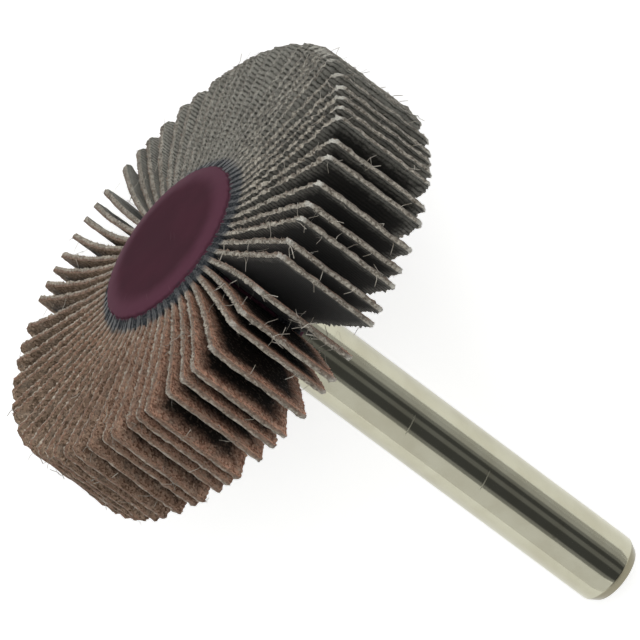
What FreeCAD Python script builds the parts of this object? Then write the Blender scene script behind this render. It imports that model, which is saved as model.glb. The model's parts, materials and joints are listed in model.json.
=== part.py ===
import FreeCAD, Part
import math
import os

# Mounted flap wheel: abrasive-cloth flaps set round a steel spindle in a cast resin hub.
# Built in millimetres along the local X axis with the front disc towards -X and the spindle
# towards +X. The finished wheel is then laid down as it rests, on two flap tips and the far
# end of the spindle.

# Flaps
wheel_diameter = 39.5
wheel_width = 9.9
flap_thickness = 0.5
stiff_length = 1.2          # flap left straight by the resin that soaks it beyond the core
mean_lean = 3.0             # degrees that a tip is swept round from its root, on average
lean_swing = 2.0            # degrees more at the gap that the wheel rests on, and less opposite
root_neighbours = 8         # a root keeps to the mean place of this many tips on either side
flaps_per_node = 2

# Gaps between neighbouring tips in half degrees, as worn. They go round towards +Y from the
# gap that the wheel rests on.
tip_gaps = [
    16, 11, 7, 11, 14, 10, 15, 7, 7, 5, 5, 7, 12, 12, 16, 13, 8,
    5, 5, 8, 18, 13, 8, 8, 8, 16, 10, 16, 12, 8, 13, 8, 19, 13,
    7, 15, 13, 7, 10, 15, 6, 7, 12, 6, 12, 13, 8, 11, 7, 10, 12,
    14, 9, 18, 7, 13, 8, 14, 11, 12, 18, 8, 9, 8, 11, 10, 8, 8,
]

# Resin hub
hub_diameter = 14.3
hub_flat_diameter = 10.6    # flat crown of a disc, before it eases down to its rim
crown_rise = 0.9            # how far each disc's crown stands proud of the flap edges
rim_rise = 0.6              # the same for its rim
collar_rise = 0.35          # and for the soaked cloth that slopes from the rim to the flaps
collar_diameter = 16.4
core_diameter = 12.8        # the flap roots butt on this core
meniscus_width = 1.1        # resin drawn up round the spindle at the back
meniscus_height = 0.5

# Spindle
spindle_diameter = 6.0
spindle_reach = 36.6        # from the back disc to the far end
end_taper_length = 0.9
end_taper_depth = 0.5
end_edge_radius = 0.25
front_cover = 1.5           # resin left over the buried end of the spindle
grip_diameter = 5.4         # buried stretch, turned down so that the resin locks on its shoulder
grip_flat_depth = 0.5
grip_flat_length = 4.0

wheel_radius = wheel_diameter / 2
core_radius = core_diameter / 2
hub_radius = hub_diameter / 2
hub_flat_radius = hub_flat_diameter / 2
collar_radius = collar_diameter / 2
spindle_radius = spindle_diameter / 2
grip_radius = grip_diameter / 2
bend_start = core_radius + stiff_length
hub_back = wheel_width + crown_rise
spindle_start = front_cover - crown_rise
shoulder = hub_back + meniscus_height
spindle_end = hub_back + spindle_reach


def across(radius, angle):
    """Point in the wheel's plane, its angle taken from straight down towards +Y."""
    return FreeCAD.Vector(0, radius * math.sin(angle), -radius * math.cos(angle))


def tip_angles():
    """Angle of each tip, with the first gap centred on straight down."""
    unit = 2 * math.pi / sum(tip_gaps)
    angles = []
    angle = -tip_gaps[0] * unit / 2
    for gap in tip_gaps:
        angle += gap * unit
        angles.append(angle)
    return angles


def root_angles(tips):
    """Roots are packed more evenly than the worn tips and trail them, most at the bottom."""
    count = len(tips)
    pitch = 2 * math.pi / count
    offsets = [tip - index * pitch for index, tip in enumerate(tips)]
    span = range(-root_neighbours, root_neighbours + 1)
    roots = []
    for index, tip in enumerate(tips):
        near = [offsets[(index + step) % count] for step in span]
        lean = mean_lean + lean_swing * math.cos(tip)
        roots.append(index * pitch + sum(near) / len(near) - math.radians(lean))
    return roots


def flap_outline(root, tip):
    """Edge-on outline of one flap: a straight root, then an arc that carries it to its tip."""
    outward = across(1, root)
    sideways = across(1, root + math.pi / 2)
    half = flap_thickness / 2
    climb = wheel_radius * math.cos(tip - root) - bend_start
    bend = 2 * math.atan2(wheel_radius * math.sin(tip - root), climb)
    reach = climb / (1 + math.cos(bend))
    end_outward = outward * math.cos(bend) + sideways * math.sin(bend)
    end_sideways = sideways * math.cos(bend) - outward * math.sin(bend)
    start = outward * bend_start
    knee = start + outward * reach
    end = knee + end_outward * reach
    middle = knee + ((start + end) / 2 - knee) / (1 + math.cos(bend / 2))
    middle_sideways = (sideways + end_sideways).normalize()
    root_turn = math.asin(half / core_radius)
    seat = [across(core_radius, root + turn) for turn in (-root_turn, 0, root_turn)]
    leading = [
        start + sideways * half,
        middle + middle_sideways * half,
        end + end_sideways * half,
    ]
    trailing = [
        end - end_sideways * half,
        middle - middle_sideways * half,
        start - sideways * half,
    ]
    return Part.Wire([
        Part.Arc(*seat).toShape(),
        Part.makeLine(seat[2], leading[0]),
        Part.Arc(*leading).toShape(),
        Part.makeLine(leading[2], trailing[0]),
        Part.Arc(*trailing).toShape(),
        Part.makeLine(trailing[2], seat[0]),
    ])


def tip_corners(outline):
    """The two corners at the outer end of a flap."""
    points = [vertex.Point for vertex in outline.Vertexes]
    return sorted(points, key=lambda point: point.Length)[-2:]


def make_flaps():
    """All flaps in order, turned together so that the two at the first gap stand level."""
    tips = tip_angles()
    outlines = [flap_outline(root, tip) for root, tip in zip(root_angles(tips), tips)]
    lowest = [
        min(tip_corners(outline), key=lambda point: point.z)
        for outline in (outlines[0], outlines[-1])
    ]
    across_gap = lowest[0] - lowest[1]
    level = -math.degrees(math.atan2(across_gap.z, across_gap.y))
    axis = FreeCAD.Vector(1, 0, 0)
    flaps = []
    for outline in outlines:
        flap = Part.Face(outline).extrude(axis * wheel_width)
        flap.rotate(FreeCAD.Vector(), axis, level)
        flaps.append(flap)
    return flaps


def straight_edges(*points):
    """Edges that join (x, radius) points."""
    corners = [FreeCAD.Vector(x, 0, radius) for x, radius in points]
    return [Part.makeLine(*ends) for ends in zip(corners, corners[1:])]


def soft_shoulder(rim, crown):
    """Arc that leaves the flat crown of a disc smoothly and drops to its rim."""
    width = hub_radius - hub_flat_radius
    turn = 2 * math.atan2(abs(crown - rim), width)
    radius = width / math.sin(turn)
    outward = FreeCAD.Vector(crown - rim, 0, 0).normalize()
    rimward = FreeCAD.Vector(0, 0, 1)
    centre = FreeCAD.Vector(crown, 0, hub_flat_radius) - outward * radius
    points = []
    for angle in (0, turn / 2, turn):
        points.append(centre + (outward * math.cos(angle) + rimward * math.sin(angle)) * radius)
    return Part.Arc(*points).toShape()


def turned(edges):
    """Solid turned about X from a closed ring of edges."""
    face = Part.Face(Part.Wire(Part.__sortEdges__(edges)))
    return face.revolve(FreeCAD.Vector(), FreeCAD.Vector(1, 0, 0), 360)


def edges_at(solid, stations):
    """Round edges of a turned solid at the given (x, radius) corners."""
    found = []
    for edge in solid.Edges:
        if not isinstance(edge.Curve, Part.Circle):
            continue
        centre = edge.Curve.Center
        for x, radius in stations:
            if abs(centre.x - x) < 1e-6 and abs(edge.Curve.Radius - radius) < 1e-6:
                found.append(edge)
    return found


def make_spindle():
    """Turned pin with a tapered end outside and a thinner, flatted end that the resin grips."""
    taper_start = spindle_end - end_taper_length
    taper_radius = spindle_radius - end_taper_depth
    pin = turned(straight_edges(
        (spindle_start, 0),
        (spindle_start, grip_radius),
        (shoulder, grip_radius),
        (shoulder, spindle_radius),
        (taper_start, spindle_radius),
        (spindle_end, taper_radius),
        (spindle_end, 0),
        (spindle_start, 0),
    ))
    pin = pin.makeFillet(end_edge_radius, edges_at(pin, [(spindle_end, taper_radius)]))
    flat_corner = FreeCAD.Vector(spindle_start, -grip_radius, grip_radius - grip_flat_depth)
    for turn in (0, 180):
        flat = Part.makeBox(grip_flat_length, grip_diameter, grip_flat_depth, flat_corner)
        flat.rotate(FreeCAD.Vector(), FreeCAD.Vector(1, 0, 0), turn)
        pin = pin.cut(flat)
    return pin


def make_hub(spindle):
    """Cast spool: a core for the roots, and on each side a soft-edged disc with its collar."""
    front = straight_edges((-crown_rise, 0), (-crown_rise, hub_flat_radius))
    waist = straight_edges(
        (-rim_rise, hub_radius),
        (-collar_rise, hub_radius),
        (0, collar_radius),
        (0, core_radius),
        (wheel_width, core_radius),
        (wheel_width, collar_radius),
        (wheel_width + collar_rise, hub_radius),
        (wheel_width + rim_rise, hub_radius),
    )
    back = straight_edges(
        (hub_back, hub_flat_radius),
        (hub_back, spindle_radius + meniscus_width),
        (shoulder, spindle_radius),
        (shoulder, 0),
        (-crown_rise, 0),
    )
    front_shoulder = soft_shoulder(-rim_rise, -crown_rise)
    back_shoulder = soft_shoulder(wheel_width + rim_rise, hub_back)
    spool = turned(front + [front_shoulder] + waist + [back_shoulder] + back)
    return spool.cut(spindle)


def rest_tilt(resting_flap):
    """Slope of the spindle when the tips' back corners and its far end touch the table."""
    tip_drop = -resting_flap.BoundBox.ZMin
    run = spindle_end - end_taper_length - wheel_width
    return math.degrees(math.atan2(tip_drop - spindle_radius, run))


os.makedirs("parts", exist_ok=True)

flaps = make_flaps()
spindle = make_spindle()
pieces = {"spindle": spindle, "resin_hub": make_hub(spindle)}
for first in range(0, len(flaps), flaps_per_node):
    name = "flap_pair_%02d" % (first // flaps_per_node + 1)
    pieces[name] = Part.Compound(flaps[first:first + flaps_per_node])

# Laid down as it rests, with the origin on the table under the middle of the whole box
tilt = rest_tilt(flaps[0])
for shape in pieces.values():
    shape.rotate(FreeCAD.Vector(), FreeCAD.Vector(0, 1, 0), tilt)
box = Part.Compound(list(pieces.values())).optimalBoundingBox(False, False)
for name, shape in pieces.items():
    shape.translate(FreeCAD.Vector(-box.Center.x, -box.Center.y, -box.ZMin))
    shape.exportStep("parts/%s.step" % name)
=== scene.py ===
import json
import math

import bmesh
import bpy
from mathutils import Matrix, Vector


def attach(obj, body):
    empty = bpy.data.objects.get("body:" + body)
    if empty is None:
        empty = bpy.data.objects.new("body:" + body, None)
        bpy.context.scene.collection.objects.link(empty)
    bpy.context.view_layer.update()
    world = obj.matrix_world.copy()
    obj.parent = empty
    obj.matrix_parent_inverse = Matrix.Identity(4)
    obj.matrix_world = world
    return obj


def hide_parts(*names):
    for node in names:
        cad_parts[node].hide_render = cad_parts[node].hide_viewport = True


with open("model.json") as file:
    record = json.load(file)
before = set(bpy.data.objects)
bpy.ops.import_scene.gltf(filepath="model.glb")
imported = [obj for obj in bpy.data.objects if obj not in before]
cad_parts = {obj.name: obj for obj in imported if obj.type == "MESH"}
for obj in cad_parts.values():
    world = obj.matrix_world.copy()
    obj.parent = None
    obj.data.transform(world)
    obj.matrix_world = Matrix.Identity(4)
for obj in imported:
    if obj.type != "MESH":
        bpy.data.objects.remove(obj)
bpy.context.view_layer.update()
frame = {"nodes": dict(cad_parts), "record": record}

# Everything is worked out in millimetres in the wheel's own space: the axis runs along +X from
# the front plane of the flaps towards the spindle's far end, and angles go from straight down
# towards +Y. A finished mesh is then moved to its place and to metres.

shank = frame["record"]["mounts"][0]
axis = Vector(shank["axis"]).normalized()
sideways = Vector((0, 1, 0))
upward = axis.cross(sideways)

flap_nodes = sorted(name for name in frame["nodes"] if name.startswith("flap_pair"))
centre_line = Vector(shank["pos_m"])
front_plane = min((corner.co - centre_line).dot(axis)
                  for corner in frame["nodes"][flap_nodes[0]].data.vertices)
wheel_origin = centre_line + axis * front_plane
wheel_turn = Matrix((axis, sideways, upward)).transposed().to_4x4()
wheel_to_world = Matrix.Translation(wheel_origin) @ wheel_turn
world_to_wheel = wheel_to_world.inverted()

# Sizes of the real pieces, in millimetres
wheel_width = 9.9
core_radius = 6.4
straight_root = 1.2
flap_length = 13.35         # along its curve
flap_thickness = 0.5
weave_pitch = 0.43
hub_radius = 7.15
hub_flat_radius = 5.3
crown_rise = 0.9
rim_rise = 0.6
rim_rounding = 0.2
collar_rise = 0.35
spindle_radius = 3.0
grip_radius = 2.7
front_cover = 1.5
shoulder = 11.3
meniscus_width = 1.1
spindle_end = 47.4
end_taper_length = 0.9
end_taper_depth = 0.5
taper_start = spindle_end - end_taper_length
scratch_stations = (24.3, 32.3)


def across(radius, angle):
    """Point in the wheel's plane at an angle from straight down."""
    return Vector((0, radius * math.sin(angle), -radius * math.cos(angle)))


def colour(red, green, blue):
    """Linear colour from the 0 to 255 values that a paint chart gives."""
    linear = [((part / 255 + 0.055) / 1.055) ** 2.4 for part in (red, green, blue)]
    return (*linear, 1.0)


def read_flaps(name):
    """Each flap of a pair as the frame holds it: root angle, bend, leg and the tip's degrees.

    A flap runs straight from its root and then along a curve whose two end tangents meet; a leg
    is the way from there to either end, and the bend is the angle between them.
    """
    mesh = bmesh.new()
    mesh.from_mesh(frame["nodes"][name].data)
    bmesh.ops.remove_doubles(mesh, verts=mesh.verts, dist=1e-7)
    seen = set()
    found = []
    for first in mesh.verts:
        if first in seen:
            continue
        island, queue = [], [first]
        seen.add(first)
        while queue:
            vertex = queue.pop()
            island.append((world_to_wheel @ vertex.co) * 1000)
            for edge in vertex.link_edges:
                other = edge.other_vert(vertex)
                if other not in seen:
                    seen.add(other)
                    queue.append(other)
        radius = [math.hypot(point.y, point.z) for point in island]
        seat = [point for point, r in zip(island, radius) if r < core_radius + 0.02]
        root_way = sum(seat, Vector()) / len(seat)
        root = math.atan2(root_way.y, -root_way.z)
        outermost = sorted(island, key=lambda point: math.hypot(point.y, point.z))[-4:]
        tip = sum(outermost, Vector()) / 4
        chord = tip - across(core_radius + straight_root, root)
        out_part = chord.dot(across(1, root))
        side_part = chord.dot(across(1, root + math.pi / 2))
        half_bend = math.atan2(side_part, out_part)
        leg = math.hypot(out_part, side_part) / (2 * math.cos(half_bend))
        found.append((root, 2 * half_bend, leg, math.degrees(math.atan2(tip.y, -tip.z))))
    mesh.free()
    return sorted(found)


flap_facts = {name: read_flaps(name) for name in flap_nodes}


# ---------------------------------------------------------------- node trees in plain sums

class Flow:
    """A value on its way through a node tree, so that a pattern reads as a sum."""

    def __init__(self, tree, socket):
        self.tree = tree
        self.socket = socket

    def step(self, operation, *others):
        node = self.tree.nodes.new("ShaderNodeMath")
        node.operation = operation
        for slot, value in zip(node.inputs, (self,) + others):
            feed(self.tree, value, slot)
        return Flow(self.tree, node.outputs[0])

    def __add__(self, other):
        return self.step("ADD", other)

    def __sub__(self, other):
        return self.step("SUBTRACT", other)

    def __rsub__(self, other):
        return self.step("MULTIPLY_ADD", -1, other)

    def __mul__(self, other):
        return self.step("MULTIPLY", other)

    def __truediv__(self, other):
        return self.step("DIVIDE", other)

    __radd__ = __add__
    __rmul__ = __mul__

    def span(self, low, high, start=0.0, end=1.0, easing="SMOOTHSTEP"):
        """The value carried from one range to another and held at its ends."""
        node = self.tree.nodes.new("ShaderNodeMapRange")
        node.interpolation_type = easing
        for slot, value in zip(node.inputs, (self, low, high, start, end)):
            feed(self.tree, value, slot)
        return Flow(self.tree, node.outputs[0])

    def bounded(self):
        node = self.tree.nodes.new("ShaderNodeClamp")
        feed(self.tree, self, node.inputs[0])
        return Flow(self.tree, node.outputs[0])


def feed(tree, value, slot):
    """Links a value to a socket, or sets the socket where the value is plain."""
    if isinstance(value, Flow):
        tree.links.new(value.socket, slot)
    elif isinstance(value, bpy.types.NodeSocket):
        tree.links.new(value, slot)
    else:
        slot.default_value = value


def add(tree, kind, inputs=None, **settings):
    """A node with its settings and inputs."""
    node = tree.nodes.new(kind)
    for name, value in settings.items():
        setattr(node, name, value)
    for name, value in (inputs or {}).items():
        feed(tree, value, node.inputs[name])
    return node


def out(node, name=0):
    return Flow(node.id_data, node.outputs[name])


def vector(tree, *parts):
    return out(add(tree, "ShaderNodeCombineXYZ", dict(enumerate(parts))))


def split(tree, value):
    node = add(tree, "ShaderNodeSeparateXYZ", {0: value})
    return [out(node, part) for part in range(3)]


def noise(tree, place, size, seed=0.0, detail=2.0, distortion=0.0, result="Fac"):
    """Noise from 0 to 1 whose patches are about the given size across."""
    node = add(tree, "ShaderNodeTexNoise", {
        "Vector": place, "W": seed, "Scale": 1 / size, "Detail": detail, "Distortion": distortion,
    }, noise_dimensions="4D")
    return out(node, result if result in node.outputs else 0)


def cells(tree, place, size, seed=0.0):
    """Grains of about the given size: distance from the middle, and a tone for each."""
    node = add(tree, "ShaderNodeTexVoronoi", {
        "Vector": place, "W": seed, "Scale": 1 / size,
    }, voronoi_dimensions="4D")
    tone = add(tree, "ShaderNodeSeparateColor", {0: node.outputs["Color"]})
    return out(node, "Distance"), out(tone, 0), out(tone, 1)


def mixed(tree, amount, first, second, blend="MIX"):
    node = add(tree, "ShaderNodeMix", {0: amount, 6: first, 7: second},
               data_type="RGBA", blend_type=blend)
    return out(node, 2)


def sine(value):
    return value.step("SINE")


# ---------------------------------------------------------------- shared surface effects

def effect(name, inputs, outputs):
    """An empty shader node group with its named sockets, and its ends."""
    tree = bpy.data.node_groups.new(name, "ShaderNodeTree")
    for socket, kind, value in inputs:
        made = tree.interface.new_socket(socket, in_out="INPUT", socket_type=kind)
        if value is not None:
            made.default_value = value
    for socket, kind in outputs:
        tree.interface.new_socket(socket, in_out="OUTPUT", socket_type=kind)
    start = tree.nodes.new("NodeGroupInput")
    end = tree.nodes.new("NodeGroupOutput")
    return tree, start, end


def weave_effect():
    """Weave whose threads across the flap stand out as ripples, over and under the others."""
    tree, start, end = effect(
        "Plain weave",
        [("Along", "NodeSocketFloat", 0.0), ("Across", "NodeSocketFloat", 0.0),
         ("Pitch", "NodeSocketFloat", weave_pitch), ("Seed", "NodeSocketFloat", 0.0)],
        [("Height", "NodeSocketFloat"), ("Tone", "NodeSocketFloat")])
    along, crosswise, pitch, seed = [
        out(start, name) for name in ("Along", "Across", "Pitch", "Seed")]
    flat = vector(tree, along, crosswise, 0.0)
    drift_a = (noise(tree, flat, 1.2, seed, 1.0) * 0.35
               + noise(tree, flat, 0.4, seed + 5.0, 1.0) * 0.2)
    drift_b = noise(tree, flat, 0.8, seed + 9.0, 1.0) * 0.9
    a = (along + drift_a) / pitch
    b = (crosswise + drift_b) / pitch
    parity = (a.step("FLOOR") + b.step("FLOOR")).step("FLOORED_MODULO", 2.0)
    ribs = sine(a * math.pi).step("ABSOLUTE")
    weft = sine(b * math.pi).step("ABSOLUTE")
    height = ribs * (parity * 0.25 + 0.6) + weft * (1.0 - parity) * 0.3
    fibres = noise(tree, flat, 0.11, seed, 3.0)
    filled = noise(tree, flat, 1.4, seed + 6.0, 2.0).span(0.35, 0.65, 0.5, 1.3)
    feed(tree, (height - 0.55) * filled * 0.65 + fibres * 0.7 + 0.2, end.inputs["Height"])
    feed(tree, noise(tree, flat, 0.5, seed + 3.0, 3.0), end.inputs["Tone"])
    return tree


def grit_effect():
    """Packed abrasive grains held in a size coat, with a tone and a glint of their own."""
    tree, start, end = effect(
        "Abrasive grit",
        [("Place", "NodeSocketVector", None), ("Grain", "NodeSocketFloat", 0.2),
         ("Seed", "NodeSocketFloat", 0.0)],
        [("Height", "NodeSocketFloat"), ("Tone", "NodeSocketFloat"), ("Glint", "NodeSocketFloat")])
    place, grain, seed = [out(start, name) for name in ("Place", "Grain", "Seed")]
    node = add(tree, "ShaderNodeTexVoronoi",
               {"Vector": place, "W": seed, "Scale": grain.step("POWER", -1.0)},
               voronoi_dimensions="4D")
    tones = add(tree, "ShaderNodeSeparateColor", {0: node.outputs["Color"]})
    finer = noise(tree, place, 0.12, seed, 3.0)
    feed(tree, (1.0 - out(node, "Distance")) * 0.7 + finer * 0.5, end.inputs["Height"])
    feed(tree, (out(tones, 0) * 0.65 + finer * 0.5).bounded(), end.inputs["Tone"])
    feed(tree, out(tones, 1).span(0.84, 0.93), end.inputs["Glint"])
    return tree


def soak_effect():
    """How far the cast resin has crept into the cloth beyond the disc."""
    tree, start, end = effect(
        "Resin soak",
        [("Place", "NodeSocketVector", None), ("Seed", "NodeSocketFloat", 0.0)],
        [("Soaked", "NodeSocketFloat")])
    place, seed = out(start, "Place"), out(start, "Seed")
    along = split(tree, place)[0]
    creep = noise(tree, place, 0.8, seed, 3.0) * 1.3
    feed(tree, (along + creep).span(2.1, 2.8, 1.0, 0.0), end.inputs["Soaked"])
    return tree


def scuff_effect():
    """Short straight scuffs and small specks on a smooth surface."""
    tree, start, end = effect(
        "Scuffs and specks",
        [("Place", "NodeSocketVector", None), ("Length", "NodeSocketFloat", 2.0)],
        [("Scuffs", "NodeSocketFloat"), ("Specks", "NodeSocketFloat")])
    place, length = out(start, "Place"), out(start, "Length")
    x, y, z = split(tree, place)
    total = None
    for turn, offset in ((0.5, 3.1), (1.9, 7.7), (2.6, 12.3)):
        c, s = math.cos(turn), math.sin(turn)
        line = vector(tree, (y * c + z * s + offset) / length, (z * c - y * s) * 9.0, x * 0.5)
        streak = noise(tree, line, 1.0, offset, 1.0).span(0.735, 0.78)
        patch = noise(tree, place, 2.5, offset, 1.0).span(0.5, 0.62)
        total = streak * patch if total is None else total + streak * patch
    feed(tree, total.bounded(), end.inputs["Scuffs"])
    distance, tone, _ = cells(tree, place, 0.55, 4.0)
    feed(tree, distance.span(0.05, 0.16, 1.0, 0.0) * tone.span(0.87, 0.91), end.inputs["Specks"])
    return tree


weave = weave_effect()
grit = grit_effect()
soak = soak_effect()
scuffs = scuff_effect()


def use(tree, group, **inputs):
    node = tree.nodes.new("ShaderNodeGroup")
    node.node_tree = group
    for name, value in inputs.items():
        feed(tree, value, node.inputs[name])
    return node


# ---------------------------------------------------------------- materials

soaked_cloth = (colour(42, 45, 50), colour(88, 91, 92))


def new_material(name):
    material = bpy.data.materials.new(name)
    material.use_nodes = True
    tree = material.node_tree
    tree.nodes.clear()
    surface = tree.nodes.new("ShaderNodeBsdfPrincipled")
    end = tree.nodes.new("ShaderNodeOutputMaterial")
    tree.links.new(surface.outputs[0], end.inputs["Surface"])
    return material, tree, surface


def raised(tree, height, depth, strength=1.0, under=None):
    """Normal from a height pattern whose full depth is given in millimetres."""
    inputs = {"Height": height, "Distance": depth / 1000, "Strength": strength}
    if under is not None:
        inputs["Normal"] = under
    return out(add(tree, "ShaderNodeBump", inputs))


def flap_place(tree):
    """Place on a flap in millimetres (along, across, through), and the flap's own number."""
    place = out(add(tree, "ShaderNodeAttribute", attribute_name="flap_place"), "Vector")
    number = out(add(tree, "ShaderNodeAttribute", attribute_name="flap_number"), "Fac")
    return place, number


def flap_value(tree, name):
    """One of the values that wear_at gives to a flap."""
    return out(add(tree, "ShaderNodeAttribute", attribute_name=name), "Fac")


def worn_colour(tree, place, number, soaked, base, depth=0.22):
    """Dust and handling make each flap and each patch of it a little lighter or darker."""
    patch = (noise(tree, place, 2.4, number, 3.0)
             + noise(tree, vector(tree, number, 0.0, 0.0), 0.7) * 0.6)
    shade = patch.span(0.5, 1.1, 1.0 - depth, 1.0 + depth, "LINEAR")
    tinted = mixed(tree, 1.0, base, vector(tree, shade, shade, shade), "MULTIPLY")
    fluff = noise(tree, place, 0.2, number, 3.0).span(0.35, 0.7)
    return mixed(tree, soaked, tinted, mixed(tree, fluff, *soaked_cloth))


def near_cut(tree, along, crosswise, number, reach_in):
    """One at the cut edges and the tip, falling unevenly to nothing further in."""
    spot = vector(tree, along, crosswise, number)
    from_side = wheel_width / 2 - crosswise.step("ABSOLUTE")
    inward = from_side.step("MINIMUM", flap_length - along)
    uneven = (noise(tree, spot, 0.9, number, 2.0) * 1.4
              + noise(tree, spot, 0.25, number + 3.0, 1.0) * 0.7)
    usual = 1.05
    return (inward + uneven - usual).span(0.1, reach_in, 1.0, 0.0)


def make_grain():
    """Grain side: rubbed brown or reddish near the cut edges, and near-black further in, partly
    fresh grain and partly painted shade between the flaps.
    """
    material, tree, surface = new_material("abrasive_grain")
    place, number = flap_place(tree)
    along, crosswise, _ = split(tree, place)
    spot = vector(tree, along, crosswise, number * 3.0)
    grains = use(tree, grit, Place=spot, Grain=0.17, Seed=number)
    tone = out(grains, "Tone")
    # Near the cut edges the grain is rubbed lighter. Further in it is painted near-black: partly
    # fresh grain, partly painted shade deep between the flaps.
    near_edges = near_cut(tree, along, crosswise, number, 2.0)
    fresh = mixed(tree, tone.span(0.25, 0.8), colour(22, 18, 14), colour(42, 33, 27))
    redness = flap_value(tree, "flap_redness")
    dull = mixed(tree, tone.span(0.2, 0.75), colour(100, 82, 66), colour(160, 136, 115))
    red = mixed(tree, tone.span(0.3, 0.8), colour(146, 100, 80), colour(226, 176, 150))
    rubbed = mixed(tree, redness, dull, red)
    brown = mixed(tree, near_edges, fresh, rubbed)
    # Pale colour on the glinting grains, stronger near the cut edges: painted highlights.
    bright = mixed(tree, out(grains, "Glint") * (near_edges * 0.7 + 0.1), brown, colour(204, 176, 152))
    dusty = noise(tree, spot, 0.9, number, 3.0).span(0.45, 0.75) * near_edges
    dusted = mixed(tree, dusty * 0.45, bright, colour(156, 146, 132))
    soaked = out(use(tree, soak, Place=place, Seed=number))
    feed(tree, worn_colour(tree, place, number, soaked, dusted), surface.inputs["Base Color"])
    feed(tree, out(grains, "Glint").span(0.0, 1.0, 0.85, 0.5), surface.inputs["Roughness"])
    feed(tree, raised(tree, out(grains, "Height"), 0.06), surface.inputs["Normal"])
    surface.inputs["Specular IOR Level"].default_value = 0.2
    return material


def make_backing():
    """Cloth side: dark where its size is whole, rubbed grey with ripples near the cut edges."""
    material, tree, surface = new_material("cloth_backing")
    place, number = flap_place(tree)
    along, crosswise, _ = split(tree, place)
    rub = flap_value(tree, "flap_rub")
    threads = use(tree, weave, Along=along, Across=crosswise, Pitch=weave_pitch, Seed=number)
    height, tone = out(threads, "Height"), out(threads, "Tone")
    near_edges = near_cut(tree, along, crosswise, number, rub * 3.2 + 1.0) * (rub * 0.7 + 0.3)
    sized = mixed(tree, height.span(0.2, 1.0), colour(25, 25, 23), colour(44, 43, 39))
    spot = vector(tree, along, crosswise, number)
    mottled = height * 0.8 + noise(tree, spot, 0.3, number, 2.0) * 0.2
    rubbed = mixed(tree, mottled.span(0.25, 0.75), colour(88, 88, 82), colour(196, 195, 185))
    cloth = mixed(tree, near_edges, sized, rubbed)
    stained = mixed(tree, tone.span(0.5, 0.72) * near_edges * 0.4, cloth, colour(92, 90, 82))
    soaked = out(use(tree, soak, Place=place, Seed=number))
    feed(tree, worn_colour(tree, place, number, soaked, stained), surface.inputs["Base Color"])
    feed(tree, soaked.span(0.0, 1.0, 0.88, 0.5), surface.inputs["Roughness"])
    feed(tree, raised(tree, height * (near_edges * 0.8 + 0.2), 0.09), surface.inputs["Normal"])
    surface.inputs["Sheen Weight"].default_value = 0.1
    surface.inputs["Sheen Roughness"].default_value = 0.45
    surface.inputs["Specular IOR Level"].default_value = 0.2
    return material


def make_cut_edge():
    """Cut through the flap: the grain coat in section, and the ends and runs of the threads."""
    material, tree, surface = new_material("cut_cloth_edge")
    place, number = flap_place(tree)
    warmth = flap_value(tree, "flap_warmth")
    along, crosswise, through = split(tree, place)
    run = along + crosswise * 0.8
    spot = vector(tree, along, crosswise, through * 0.5 + number * 3.0)
    ragged = noise(tree, place, 0.35, number, 3.0)
    loose = noise(tree, place, 0.8, number + 4.0, 2.0).span(0.35, 0.65)
    twist = sine(run * (2 * math.pi / weave_pitch) + through * 4.0 + ragged * 7.0) * 0.5 + 0.5
    grains = use(tree, grit, Place=spot, Grain=0.17, Seed=number)
    fibres = noise(tree, spot, 0.1, number, 3.0)
    knots = noise(tree, spot, 0.21, number + 7.0, 2.0).span(0.34, 0.62)
    fluff = flap_value(tree, "flap_fluff")
    rub = flap_value(tree, "flap_rub")
    thread_tone = (twist * (loose * 0.3 + 0.05) + fibres * 0.5 + knots * 0.6 - 0.2).bounded()
    cool = mixed(tree, thread_tone, colour(84, 83, 77), colour(166, 165, 156))
    fresh = mixed(tree, thread_tone, colour(92, 83, 72), colour(212, 205, 190))
    warm = mixed(tree, thread_tone, colour(122, 106, 90), colour(214, 202, 184))
    thread = mixed(tree, fluff, mixed(tree, warmth, cool, warm), fresh)
    dull = mixed(tree, out(grains, "Tone"), colour(80, 77, 71), colour(140, 135, 125))
    brown = mixed(tree, out(grains, "Tone"), colour(96, 72, 58), colour(168, 134, 112))
    grain = mixed(tree, warmth, dull, brown)
    thread_gain = fluff.step("MAXIMUM", rub) * 0.25
    coat = (through + (ragged - 0.5) * 1.1 + thread_gain).span(-0.08, 0.2, 1.0, 0.0)
    edge = mixed(tree, coat, thread, grain)
    at_corner = (crosswise.step("ABSOLUTE").span(wheel_width / 2 - 0.7, wheel_width / 2 - 0.1)
                 * along.span(flap_length - 1.0, flap_length - 0.3))
    tuft = (at_corner * fluff * (fibres * 1.5)).bounded()
    tufted = mixed(tree, tuft, edge, colour(232, 230, 220))
    soaked = out(use(tree, soak, Place=place, Seed=number))
    feed(tree, worn_colour(tree, place, number, soaked, tufted, 0.12), surface.inputs["Base Color"])
    feed(tree, soaked.span(0.0, 1.0, 0.9, 0.45), surface.inputs["Roughness"])
    feed(tree, raised(tree, twist * loose * 0.4 + fibres * 0.9 + out(grains, "Height") * 0.3, 0.1),
         surface.inputs["Normal"])
    surface.inputs["Sheen Weight"].default_value = 0.15
    surface.inputs["Sheen Roughness"].default_value = 0.5
    surface.inputs["Specular IOR Level"].default_value = 0.2
    return material


def make_thread():
    """Loose bits of thread, each of one pale tone."""
    material, tree, surface = new_material("loose_thread")
    place = out(add(tree, "ShaderNodeTexCoord"), "Object")
    tone = noise(tree, place, 0.0007, 2.0, 2.0)
    feed(tree, mixed(tree, tone.span(0.35, 0.65), colour(150, 140, 124), colour(212, 206, 193)),
         surface.inputs["Base Color"])
    feed(tree, tone.span(0.3, 0.7, 0.75, 0.95), surface.inputs["Roughness"])
    surface.inputs["Sheen Weight"].default_value = 0.2
    return material


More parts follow.
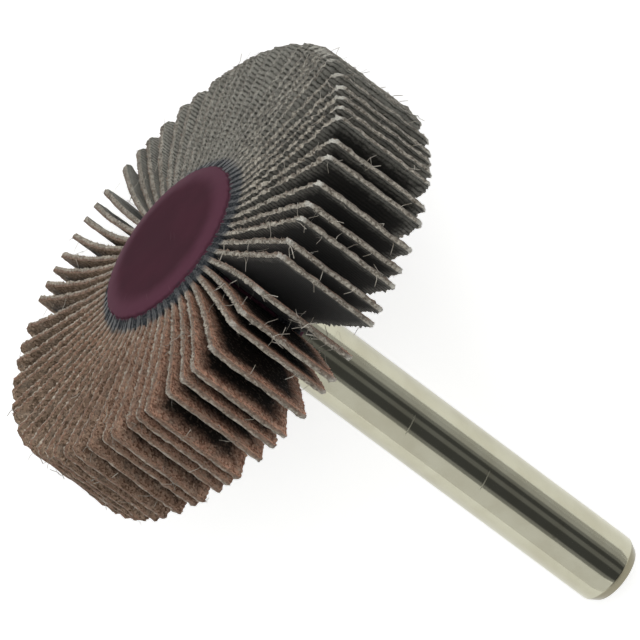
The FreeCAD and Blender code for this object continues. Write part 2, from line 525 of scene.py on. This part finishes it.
def wheel_place(tree):
    """Place in the wheel's own space in millimetres, from the Object coordinates."""
    place = out(add(tree, "ShaderNodeTexCoord"), "Object")
    turn = world_to_wheel.to_euler()
    back = add(tree, "ShaderNodeMapping", {"Vector": place}, vector_type="POINT")
    back.inputs["Rotation"].default_value = turn
    back.inputs["Location"].default_value = world_to_wheel.translation * 1000
    back.inputs["Scale"].default_value = (1000, 1000, 1000)
    return out(back)


def make_resin():
    """Maroon casting resin with a painted highlight that pales it towards its rim, and the soaked
    cloth of the collar.
    """
    material, tree, surface = new_material("maroon_resin")
    place = wheel_place(tree)
    _, y, z = split(tree, place)
    radius = (y * y + z * z).step("SQRT")
    clouds = noise(tree, place, 3.2, 1.0, 3.0)
    deep = mixed(tree, clouds.span(0.35, 0.68), colour(67, 35, 46), colour(73, 38, 50))
    # Paler maroon towards the rim: a painted highlight on the rounded shoulder.
    painted_rim_highlight = (radius + noise(tree, place, 1.1, 3.0) * 0.6).span(5.2, 6.9)
    edge = mixed(tree, painted_rim_highlight * 0.9, deep, colour(98, 61, 75))
    marks = use(tree, scuffs, Place=place, Length=2.2)
    scuffed = mixed(tree, out(marks, "Scuffs") * 0.22, edge, colour(138, 108, 116))
    flecked = mixed(tree, out(marks, "Specks") * 0.5, scuffed, colour(150, 120, 124))
    bleed = (radius + noise(tree, place, 0.35, 5.0, 3.0) * 0.4).span(7.32, 7.62)
    fluff = noise(tree, place, 0.16, 8.0, 3.0).span(0.35, 0.75)
    stained = mixed(tree, bleed, flecked, mixed(tree, fluff, *soaked_cloth))
    feed(tree, stained, surface.inputs["Base Color"])
    rough = clouds * 0.1 + out(marks, "Scuffs") * 0.15 + bleed * 0.35 + 0.4
    feed(tree, rough.bounded(), surface.inputs["Roughness"])
    pull = noise(tree, place, 4.0, 2.0, 1.0) * 0.6 + fluff * bleed * 0.5
    feed(tree, raised(tree, pull - out(marks, "Scuffs") * 0.05, 0.12), surface.inputs["Normal"])
    surface.inputs["Specular IOR Level"].default_value = 0.008
    return material


def make_steel():
    """Polished steel: a faint lay, a few stains, pits and scratches, and a duller turned end that
    is also painted darker as a painted dark reflection.
    """
    material, tree, surface = new_material("polished_steel")
    place = wheel_place(tree)
    x, y, z = split(tree, place)
    angle = y.step("ARCTAN2", z)
    lay = noise(tree, vector(tree, x * 0.9, angle * 40.0, 0.0), 1.0, 1.0, 3.0)
    rings = noise(tree, vector(tree, x * 14.0, angle * 0.6, 0.0), 1.0, 2.0, 3.0)
    spots = cells(tree, place, 0.8, 3.0)
    crowded = x.span(shoulder, shoulder + 16.0, 0.86, 0.93, "LINEAR")
    stained = spots[0].span(0.08, 0.3, 1.0, 0.0) * (spots[1] - crowded).span(0.0, 0.03)
    pits = cells(tree, place, 0.5, 8.0)
    pitted = pits[0].span(0.05, 0.12, 1.0, 0.0) * pits[1].span(0.93, 0.95)
    cross = None
    for station in scratch_stations:
        mark = (x - station + angle * 0.57).step("ABSOLUTE").span(0.02, 0.07, 1.0, 0.0)
        mark = mark * angle.step("ABSOLUTE").span(0.22, 0.34, 1.0, 0.0)
        cross = mark if cross is None else cross + mark
    tarnish = noise(tree, place, 2.6, 4.0, 4.0)
    steel = mixed(tree, tarnish.span(0.35, 0.7), colour(182, 180, 161), colour(174, 171, 151))
    marked = mixed(tree, (stained * 0.4 + pitted * 0.6).bounded(), steel, colour(112, 106, 88))
    # The turned end is painted darker, a painted dark reflection; it is also a little rougher.
    painted_dark_end = x.span(taper_start - 0.08, taper_start + 0.08)
    with_painted_dark_end = mixed(tree, painted_dark_end * 0.75, marked, colour(112, 105, 84))
    feed(tree, with_painted_dark_end, surface.inputs["Base Color"])
    surface.inputs["Metallic"].default_value = 1.0
    polish = 0.07
    rough = (lay * 0.03 + tarnish * 0.05 + pitted * 0.25 + stained * 0.06 + cross * 0.4
             + painted_dark_end * 0.1 + polish)
    feed(tree, rough.bounded(), surface.inputs["Roughness"])
    fine = raised(tree, lay + rings * 0.5, 0.0004)
    feed(tree, raised(tree, 0.0 - pitted - cross * 0.3, 0.03, 0.6, fine), surface.inputs["Normal"])
    return material


grain_coat = make_grain()
cloth_backing = make_backing()
cut_edge = make_cut_edge()
loose_thread = make_thread()
maroon_resin = make_resin()
polished_steel = make_steel()


# ---------------------------------------------------------------- flaps

def attribute(tree, name, kind="FLOAT"):
    node = add(tree, "GeometryNodeInputNamedAttribute", {"Name": name}, data_type=kind)
    return out(node, "Attribute")


def flap_tree():
    """Worn flap of abrasive cloth on each point, bent from its root angle to its tip."""
    tree = bpy.data.node_groups.new("Worn abrasive flap", "GeometryNodeTree")
    measures = ["Length", "Width", "Thickness", "Core radius", "Straight root", "Weave pitch",
                "Collar", "Edge wear", "Tip wear", "Waviness", "Threads"]
    tree.interface.new_socket("Geometry", in_out="INPUT", socket_type="NodeSocketGeometry")
    for name in measures:
        tree.interface.new_socket(name, in_out="INPUT", socket_type="NodeSocketFloat")
    tree.interface.new_socket("Seed", in_out="INPUT", socket_type="NodeSocketInt")
    tree.interface.new_socket("Geometry", in_out="OUTPUT", socket_type="NodeSocketGeometry")
    start = tree.nodes.new("NodeGroupInput")
    end = tree.nodes.new("NodeGroupOutput")
    (length, width, thickness, core, straight, pitch, collar, edge_wear, tip_wear, wave, threads,
     seed) = [out(start, name) for name in measures + ["Seed"]]

    # Flat blank with its three finishes, its rows of faces closest at the cut edges
    rows_along, rows_across, rows_through = 86, 25, 4
    blank = add(tree, "GeometryNodeMeshCube", {
        "Size": vector(tree, length, width, 1.0),
        "Vertices X": rows_along, "Vertices Y": rows_across, "Vertices Z": rows_through})
    facing = split(tree, add(tree, "GeometryNodeInputNormal").outputs[0])[2]
    shape = out(blank, "Mesh")
    finishes = ((cut_edge, None), (grain_coat, facing.step("LESS_THAN", -0.5)),
                (cloth_backing, facing.step("GREATER_THAN", 0.5)))
    for finish, chosen in finishes:
        dress = add(tree, "GeometryNodeSetMaterial", {"Geometry": shape, "Material": finish})
        if chosen is not None:
            feed(tree, chosen, dress.inputs["Selection"])
        shape = out(dress)
    corner = out(add(tree, "GeometryNodeInputMeshEdgeAngle")).step("GREATER_THAN", 0.5)
    crisp = add(tree, "GeometryNodeSetShadeSmooth", {0: shape, 1: corner, 2: False}, domain="EDGE")
    spot = split(tree, add(tree, "GeometryNodeInputPosition").outputs[0])
    half_width = width * 0.5
    crowding = 1.33
    crosswise = sine(spot[1] / half_width * crowding) * half_width / math.sin(crowding)
    marked = add(tree, "GeometryNodeStoreNamedAttribute", {
        "Geometry": crisp.outputs[0], "Name": "flap_place",
        "Value": vector(tree, spot[0] + length * 0.5, crosswise, spot[2])},
        data_type="FLOAT_VECTOR", domain="POINT")
    set_out = add(tree, "GeometryNodeInstanceOnPoints", {
        "Points": start.outputs["Geometry"], "Instance": marked.outputs[0]})
    flat = add(tree, "GeometryNodeRealizeInstances", {"Geometry": set_out.outputs[0]})

    # Wear: ragged cut edges, rounded and fluffed tips, a little wave and twist
    along, crosswise, through = split(tree, attribute(tree, "flap_place", "FLOAT_VECTOR"))
    number = attribute(tree, "flap_number") + out(start, "Seed")
    fray = attribute(tree, "flap_fray")
    rough = attribute(tree, "flap_fluff") * 0.5 + 0.5
    side = crosswise.step("SIGN")
    near_edge = crosswise.step("ABSOLUTE").span(half_width - 0.3, half_width)
    near_tip = along.span(length - 0.45, length)
    corner = attribute(tree, "flap_corner") * crosswise.span(-0.1, 0.1, 1.0, 0.6)
    end_part = (along - length + corner).step("MAXIMUM", 0.0)
    side_part = (crosswise.step("ABSOLUTE") - half_width + corner).step("MAXIMUM", 0.0)
    twice = corner * corner * 2.0
    end_back = end_part * (1.0 - (1.0 - side_part * side_part / twice).step("SQRT"))
    side_back = side_part * (1.0 - (1.0 - end_part * end_part / twice).step("SQRT"))
    free = along.span(straight, straight + 2.5)
    place = vector(tree, along, crosswise, through * 0.6)
    ragged = noise(tree, place, 0.36, number, 2.0) - 0.5
    ragged_tip = noise(tree, place, 0.38, number + 5.0, 2.0) - 0.5
    coarse = noise(tree, place, 1.9, number + 11.0, 1.0) - 0.5
    rope = sine(along * 6.2832 / pitch + through * 3.0 + number)
    round_off = 1.0 - through * through * 4.0
    uneven = ragged * rough * 1.1 + coarse * 0.16 + rope * 0.04 + round_off * 0.07 - 0.07
    edge_move = side * near_edge * free * uneven * edge_wear
    drawn_out = side * near_edge * along.span(0.75, 1.8, collar, 0.0, "LINEAR")
    uneven_tip = ragged_tip * 0.5 + coarse * 0.3 - 0.12 + round_off * 0.07
    tip_move = near_tip * uneven_tip * tip_wear * (fray + 1.0)
    bite = (crosswise.span(0.4 - half_width, 0.9 - half_width)
            * crosswise.span(1.2 - half_width, 1.9 - half_width, 1.0, 0.0)
            * along.span(length - 2.2, length) * attribute(tree, "flap_torn") * (ragged_tip + 1.1))
    swell = through * (near_edge * free * (ragged * rough + rope * 0.2)
                       + near_tip * ragged_tip * 0.7 + 1.0)
    slow = vector(tree, along * 0.12, crosswise * 0.16, 0.0)
    low = noise(tree, slow, 1.0, number, 1.0) - 0.5
    quick = vector(tree, along * 0.1, crosswise * 0.55, 0.0)
    buckle = noise(tree, quick, 1.0, number + 20.0, 1.0) - 0.5
    tip_share = ((along - straight) / (length - straight)).step("MAXIMUM", 0.0)
    warp = low * 0.5 + buckle * near_tip * 0.2 + ragged * near_edge * free * 0.12
    lift = warp * wave * tip_share
    worn_along = along + tip_move - end_back - bite
    crosswise = crosswise + edge_move + drawn_out - side * side_back

    # Bend along a curve of the second degree between its two end tangents
    straight_part = worn_along.step("MINIMUM", straight)
    t = ((worn_along - straight) / (length - straight)).step("MAXIMUM", 0.0)
    root, bend, leg = [attribute(tree, "flap_" + name) for name in ("root", "bend", "leg")]
    turn_c, turn_s = bend.step("COSINE"), sine(bend)
    radial = core + straight_part + leg * (t * 2.0 - t * t + t * t * turn_c)
    swing = leg * t * t * turn_s
    lead_r = 1.0 - t + t * turn_c
    lead_s = t * turn_s
    size = (lead_r * lead_r + lead_s * lead_s).step("SQRT")
    offset = swell * thickness + lift
    radial = radial - lead_s / size * offset
    swing = swing + lead_r / size * offset
    root_s, root_c = sine(root), root.step("COSINE")
    bent = vector(tree, crosswise + half_width, radial * root_s + swing * root_c,
                  swing * root_s - radial * root_c)
    curved = add(tree, "GeometryNodeSetPosition", {"Geometry": flat.outputs[0], "Position": bent})

    # Loose threads along the cut edges
    cut_along, cut_across, _ = split(tree, attribute(tree, "flap_place", "FLOAT_VECTOR"))
    is_edge = cut_across.step("ABSOLUTE").step("GREATER_THAN", half_width - 0.006)
    is_tip = cut_along.step("GREATER_THAN", length - 0.01)
    clear = cut_along.step("GREATER_THAN", straight + 2.0)
    chosen = (is_edge + is_tip).step("MINIMUM", 1.0) * clear
    patch = vector(tree, cut_along, cut_across * 0.6, number)
    clumps = noise(tree, patch, 0.9, seed, 1.0).span(0.48, 0.64, 0.1, 1.8)
    towards_tip = cut_along.span(length - 4.0, length) + 0.6
    roots = add(tree, "GeometryNodeDistributePointsOnFaces", {
        "Mesh": curved.outputs[0], "Selection": chosen,
        "Density": threads * (fray * 1.2 + 0.5) * towards_tip * clumps, "Seed": seed})
    line = add(tree, "GeometryNodeCurvePrimitiveLine", {"End": (0.0, 0.0, 1.0)})
    bits = add(tree, "GeometryNodeResampleCurve", {"Curve": line.outputs[0], "Count": 4})
    rise = out(add(tree, "GeometryNodeSplineParameter"))
    curl = add(tree, "GeometryNodeSetPosition", {
        "Geometry": bits.outputs[0],
        "Offset": vector(tree, rise * rise * 1.2, sine(rise * 5.0) * 0.3, rise * rise * -0.6)})
    wire = add(tree, "GeometryNodeCurvePrimitiveCircle", {"Resolution": 3, "Radius": 0.035})
    fibre = add(tree, "GeometryNodeCurveToMesh", {
        "Curve": curl.outputs[0], "Profile Curve": wire.outputs[0], "Fill Caps": True})
    spin = add(tree, "FunctionNodeRandomValue", {
        0: (-1.2, -1.2, -3.14), 1: (1.2, 1.2, 3.14), "Seed": seed + 2.0}, data_type="FLOAT_VECTOR")
    tilt = add(tree, "FunctionNodeRotateRotation", {
        "Rotation": roots.outputs["Rotation"], "Rotate By": spin.outputs[0],
    }, rotation_space="LOCAL")
    chance = add(tree, "FunctionNodeRandomValue", {
        2: 0.0, 3: 1.0, "Seed": seed + 4.0}, data_type="FLOAT")
    share = out(chance, 1)
    girth = share * 0.8 + 0.6
    reach = share.step("POWER", 4.0) * (fray * 0.15 + 0.03) + 0.07
    scattered = add(tree, "GeometryNodeInstanceOnPoints", {
        "Points": roots.outputs["Points"], "Instance": fibre.outputs[0],
        "Rotation": tilt.outputs[0], "Scale": vector(tree, girth, girth, reach)})
    fuzz = add(tree, "GeometryNodeRealizeInstances", {"Geometry": scattered.outputs[0]})
    spun = add(tree, "GeometryNodeSetMaterial", {
        "Geometry": fuzz.outputs[0], "Material": loose_thread})
    both = tree.nodes.new("GeometryNodeJoinGeometry")
    tree.links.new(spun.outputs[0], both.inputs[0])
    tree.links.new(curved.outputs[0], both.inputs[0])
    tree.links.new(both.outputs[0], end.inputs[0])
    return tree


def grown(name, host, tree, values):
    """Plain mesh that a node tree grows on a host mesh, moved to its place in metres."""
    holder = bpy.data.objects.new(name, host)
    bpy.context.scene.collection.objects.link(holder)
    modifier = holder.modifiers.new("grow", "NODES")
    modifier.node_group = tree
    for item in tree.interface.items_tree:
        if item.in_out == "INPUT" and item.name in values:
            modifier[item.identifier] = values[item.name]
    ready = holder.evaluated_get(bpy.context.evaluated_depsgraph_get())
    mesh = bpy.data.meshes.new_from_object(ready, preserve_all_data_layers=True,
                                           depsgraph=bpy.context.evaluated_depsgraph_get())
    bpy.data.objects.remove(holder)
    return set_in_place(name, mesh)


def set_in_place(name, mesh):
    mesh.transform(wheel_to_world @ Matrix.Scale(0.001, 4))
    mesh.name = name
    piece = bpy.data.objects.new(name, mesh)
    bpy.context.scene.collection.objects.link(piece)
    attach(piece, "root")
    return piece


def wear_at(tip):
    """How a flap is worn and rubbed, told by the angle of its tip: a value for each attribute."""
    turn = math.radians(tip)

    def facing(angle):
        return max(0.0, math.cos(turn - math.radians(angle)))

    torn = 1.0 if 0 < tip < 7 else 0.0
    frayed = max(0.0, 1 - ((tip - 165) / 26) ** 2)
    return {
        "flap_fray": frayed + torn,
        "flap_torn": torn,
        "flap_corner": 0.85 + 0.45 * math.cos(turn) + 0.7 * facing(35) ** 2,
        "flap_warmth": 0.5 - 0.5 * math.sin(turn),
        "flap_redness": facing(188) ** 3,
        "flap_fluff": facing(135) ** 2,
        "flap_rub": (0.5 + 0.5 * math.cos(turn - math.radians(22))) ** 2,
    }


def reach_left(tip):
    """The tips a little way round from the floor are worn less short than the others."""
    return 1 + 0.03 * max(0.0, math.cos(math.radians(tip - 50))) ** 6


flap = flap_tree()
number = 0
for node_name in flap_nodes:
    facts = flap_facts[node_name]
    wear = [wear_at(tip) for root, bend, leg, tip in facts]
    values = {
        "flap_root": [root for root, bend, leg, tip in facts],
        "flap_bend": [bend for root, bend, leg, tip in facts],
        "flap_leg": [leg * reach_left(tip) for root, bend, leg, tip in facts],
    }
    for name in wear[0]:
        values[name] = [row[name] for row in wear]
    values["flap_number"] = [number + index for index in range(len(facts))]
    host = bpy.data.meshes.new(node_name + "_roots")
    host.from_pydata([(0, 0, 0)] * len(facts), [], [])
    for name, column in values.items():
        layer = host.attributes.new(name, "FLOAT", "POINT")
        layer.data.foreach_set("value", [float(value) for value in column])
    piece = grown(node_name.replace("flap_pair", "cloth_flaps"), host, flap, {
        "Length": flap_length, "Width": wheel_width, "Thickness": flap_thickness * 0.9,
        "Core radius": core_radius, "Straight root": straight_root, "Weave pitch": weave_pitch,
        "Collar": collar_rise, "Edge wear": 1.0, "Tip wear": 1.0, "Waviness": 0.35,
        "Threads": 1.2, "Seed": 7})
    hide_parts(node_name)
    number += len(facts)


# ---------------------------------------------------------------- turned pieces

def turned(name, profile, segments, radius_shift=None):
    """Closed turned mesh from (x, radius) points that start and end on the axis."""
    mesh = bmesh.new()
    rings = []
    for x, radius in profile:
        if radius < 1e-9:
            rings.append([mesh.verts.new((x, 0, 0))])
            continue
        ring = []
        for step in range(segments):
            angle = 2 * math.pi * step / segments
            shifted = radius + (radius_shift(x, radius, angle) if radius_shift else 0.0)
            point = across(shifted, angle)
            ring.append(mesh.verts.new((x, point.y, point.z)))
        rings.append(ring)
    for near, far in zip(rings, rings[1:]):
        for step in range(segments):
            a = near[step % len(near)], near[(step + 1) % len(near)]
            b = far[step % len(far)], far[(step + 1) % len(far)]
            corners = [a[0]] if len(near) == 1 else [a[0], a[1]]
            corners += [b[0]] if len(far) == 1 else [b[1], b[0]]
            mesh.faces.new(corners)
    bmesh.ops.recalc_face_normals(mesh, faces=mesh.faces)
    for face in mesh.faces:
        face.smooth = True
    for edge in mesh.edges:
        if len(edge.link_faces) == 2 and edge.calc_face_angle() > math.radians(35):
            edge.smooth = False
    made = bpy.data.meshes.new(name)
    mesh.to_mesh(made)
    mesh.free()
    return made


def rounded(centre_x, centre_radius, size, first, last, steps):
    """Points of a rounded corner, its angles measured from the radial direction towards +X."""
    points = []
    for step in range(steps + 1):
        angle = math.radians(first + (last - first) * step / steps)
        points.append((centre_x + size * math.sin(angle), centre_radius + size * math.cos(angle)))
    return points


def soft_disc(steps=12):
    """Front disc from its middle outwards: flat, then a broad and a tight arc to its rim."""
    width, drop = hub_radius - hub_flat_radius, crown_rise - rim_rise
    broad = (width ** 2 + drop ** 2) / (2 * drop)
    turn = math.asin((width - rim_rounding) / (broad - rim_rounding))
    tight_x = -crown_rise + broad - (broad - rim_rounding) * math.cos(turn)
    points = [(-crown_rise, 0.0), (-crown_rise, 2.5), (-crown_rise, hub_flat_radius)]
    arcs = ((-crown_rise + broad, hub_flat_radius, broad, 0.0, turn),
            (tight_x, hub_radius - rim_rounding, rim_rounding, turn, math.pi / 2))
    for centre_x, centre_radius, size, first, last in arcs:
        for step in range(1, steps + 1):
            angle = first + (last - first) * step / steps
            points.append((centre_x - size * math.cos(angle),
                           centre_radius + size * math.sin(angle)))
    return points


roots = sorted(fact[0] for facts in flap_facts.values() for fact in facts)


def resin_creep(x, radius, angle):
    """The resin's rim follows the flap edges it was cast against, and it bleeds between them."""
    wander = (math.sin(angle * 23 + 1.3) * math.sin(angle * 9.1 + 0.4)
              + 0.6 * math.sin(angle * 41 + 2.0))
    if radius > hub_radius + 0.01:
        return 0.16 * wander + 0.1 * math.sin(angle * 67 + x)
    if radius < hub_radius - 0.3:
        return 0.0
    nearest = min(abs((root - angle + math.pi) % (2 * math.pi) - math.pi) for root in roots)
    tooth = math.cos(min(nearest / (math.pi / len(roots)), 1.0) * math.pi)
    seat = (radius - hub_radius + 0.3) / 0.3
    return seat * (0.05 * wander - 0.02 * tooth)


hub_back = wheel_width + crown_rise
# From the disc's rim over the collar and back down between the flaps
collar = [(-0.36, hub_radius), (-0.33, 7.22), (-0.25, 7.4), (-0.16, 7.65), (-0.05, 7.85),
          (0.12, 8.0), (0.6, 7.95), (1.5, 7.5), (2.5, 7.1)]
front = soft_disc() + collar
back = [(wheel_width - x, radius) for x, radius in reversed(front) if radius > 4.2]
back.append((hub_back, spindle_radius + meniscus_width))
for step in range(1, 9):
    share = step / 8
    back.append((hub_back + (shoulder - hub_back) * share ** 2.2,
                 spindle_radius + meniscus_width * (1 - share)))
pin_start = front_cover - crown_rise
back += [(shoulder, grip_radius), (pin_start, grip_radius), (pin_start, 0.0)]
hub_mesh = turned("cast_resin_hub", front + back, 8 * len(roots), resin_creep)
hub = set_in_place("cast_resin_hub", hub_mesh)
hub.data.materials.append(maroon_resin)
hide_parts("resin_hub")

taper_radius = spindle_radius - end_taper_depth
slope = math.degrees(math.atan2(end_taper_depth, end_taper_length))
pin = [(pin_start, 0.0), (pin_start, grip_radius),
       (shoulder, grip_radius), (shoulder, spindle_radius)]
pin += [(shoulder + (taper_start - shoulder) * step / 40, spindle_radius)
        for step in range(1, 40)]
pin += [(taper_start - 0.06, spindle_radius), (taper_start + 0.06, spindle_radius - 0.03)]
pin += rounded(spindle_end - 0.25, taper_radius - 0.13, 0.25, slope, 90, 6)
pin += [(spindle_end, 1.6), (spindle_end, 0.8), (spindle_end, 0.0)]
spindle = set_in_place("steel_spindle", turned("steel_spindle", pin, 160))
spindle.data.materials.append(polished_steel)
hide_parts("spindle")


# ---------------------------------------------------------------- floor, light and camera

def make_floor():
    """Pale floor that shows white to the eye and in the steel, and keeps the shadow."""
    mesh = bpy.data.meshes.new("studio_floor")
    half = 3.0
    corners = [(-half, -half, 0), (half, -half, 0), (half, half, 0), (-half, half, 0)]
    mesh.from_pydata(corners, [], [(0, 1, 2, 3)])
    floor = bpy.data.objects.new("studio_floor", mesh)
    bpy.context.scene.collection.objects.link(floor)
    material = bpy.data.materials.new("studio_floor")
    material.use_nodes = True
    tree = material.node_tree
    tree.nodes.clear()
    path = tree.nodes.new("ShaderNodeLightPath")
    seen = (out(path, "Is Camera Ray") + out(path, "Is Glossy Ray")
            + out(path, "Is Transmission Ray")).bounded()
    paint = add(tree, "ShaderNodeBsdfDiffuse", {"Color": colour(232, 232, 230)})
    glow = add(tree, "ShaderNodeEmission", {"Color": (1, 1, 1, 1), "Strength": seen * 0.66})
    total = tree.nodes.new("ShaderNodeAddShader")
    tree.links.new(paint.outputs[0], total.inputs[0])
    tree.links.new(glow.outputs[0], total.inputs[1])
    end = tree.nodes.new("ShaderNodeOutputMaterial")
    tree.links.new(total.outputs[0], end.inputs["Surface"])
    mesh.materials.append(material)


def wheel_direction(x, y, z):
    return (wheel_to_world.to_3x3() @ Vector((x, y, z))).normalized()


def softbox(name, towards, long_side, distance, size, level):
    """Soft lamp facing the wheel; its level is the brightness of its face."""
    lamp = bpy.data.lights.new(name, "AREA")
    lamp.shape = "RECTANGLE"
    lamp.size, lamp.size_y = size
    lamp.energy = level * math.pi * size[0] * size[1]
    holder = bpy.data.objects.new(name, lamp)
    bpy.context.scene.collection.objects.link(holder)
    back = towards.normalized()
    side = (long_side - back * long_side.dot(back)).normalized()
    turn = Matrix((side, back.cross(side), back)).transposed().to_4x4()
    holder.matrix_world = Matrix.Translation(Vector((0, 0, 0.015)) + back * distance) @ turn


def round_spindle(angle):
    """Direction that the spindle mirrors to the camera, at an angle round from its top."""
    turned_up = math.radians(angle)
    return wheel_direction(*(Vector((math.sin(view_tilt), 0, 0)) + math.cos(view_tilt) * (
        near_side * math.cos(turned_up) + across_spindle * math.sin(turned_up))))


# The camera looks down on the front disc from the side of the wheel, nearly without perspective.
# Its tilt is what the disc's oval shows; its roll is set by the spindle's slope in the frame.
view_tilt = math.asin(0.383)
view_angle = math.radians(176.15)
frame_width = 50.53
camera_distance = 1.75
near_side = across(1, view_angle)
towards_camera = Vector((-math.sin(view_tilt), 0, 0)) + near_side * math.cos(view_tilt)
down_spindle = Vector((math.cos(view_tilt), 0, 0)) + near_side * math.sin(view_tilt)
across_spindle = across(1, view_angle + math.pi / 2)
right = down_spindle * 0.8026 - across_spindle * 0.5965
down = down_spindle * 0.5965 + across_spindle * 0.8026
target = right * 11.634 + down * 5.866

make_floor()
# Strips of light along the spindle: where round it each is mirrored, in degrees, and its level
strips = (("left_wall", 30, 86, 0.88), ("left_fade", 19, 30, 0.22),
          ("bright_seam", -9, -22, 0.12), ("right_fade", -36, -46, 0.16),
          ("right_inner", -46, -62, 0.44), ("right_wall", -62, -86, 0.52))
strip_distance, strip_length = 0.7, 0.8
view_share = 0.924          # cosine of the view's tilt, which narrows what the spindle mirrors
for name, first, last, level in strips:
    half = math.radians(abs(last - first) / 2)
    softbox(name, round_spindle((first + last) / 2), round_spindle(last) - round_spindle(first),
            strip_distance, (2 * strip_distance * math.tan(half * view_share), strip_length), level)
softbox("front", Vector((-0.88, -0.15, 0.42)), Vector((0, 1, 0)), 0.9, (1.3, 0.8), 0.6)
softbox("key", Vector((-0.35, 0.5, 0.8)), Vector((1, 0, 0)), 0.9, (0.9, 0.9), 1.4)
softbox("overhead", Vector((-0.25, -0.25, 0.92)), Vector((0, 1, 0)), 1.3, (1.2, 1.2), 1.1)

world = bpy.data.worlds.new("studio")
world.use_nodes = True
bpy.context.scene.world = world
world.node_tree.nodes["Background"].inputs["Color"].default_value = (0.95, 0.98, 1.0, 1)
world.node_tree.nodes["Background"].inputs["Strength"].default_value = 0.08

camera_data = bpy.data.cameras.new("camera")
camera_data.sensor_width = 36
camera_data.lens = 36 * camera_distance * 1000 / frame_width
camera_data.clip_start = 0.05
camera_data.clip_end = 20
camera = bpy.data.objects.new("camera", camera_data)
bpy.context.scene.collection.objects.link(camera)
spot = target + towards_camera * camera_distance * 1000
turned_frame = Matrix((right, -down, towards_camera)).transposed()
camera.matrix_world = (Matrix.Translation(wheel_to_world @ (spot * 0.001))
                       @ (wheel_to_world.to_3x3() @ turned_frame).to_4x4())
bpy.context.scene.camera = camera
bpy.context.scene.view_settings.view_transform = "Standard"
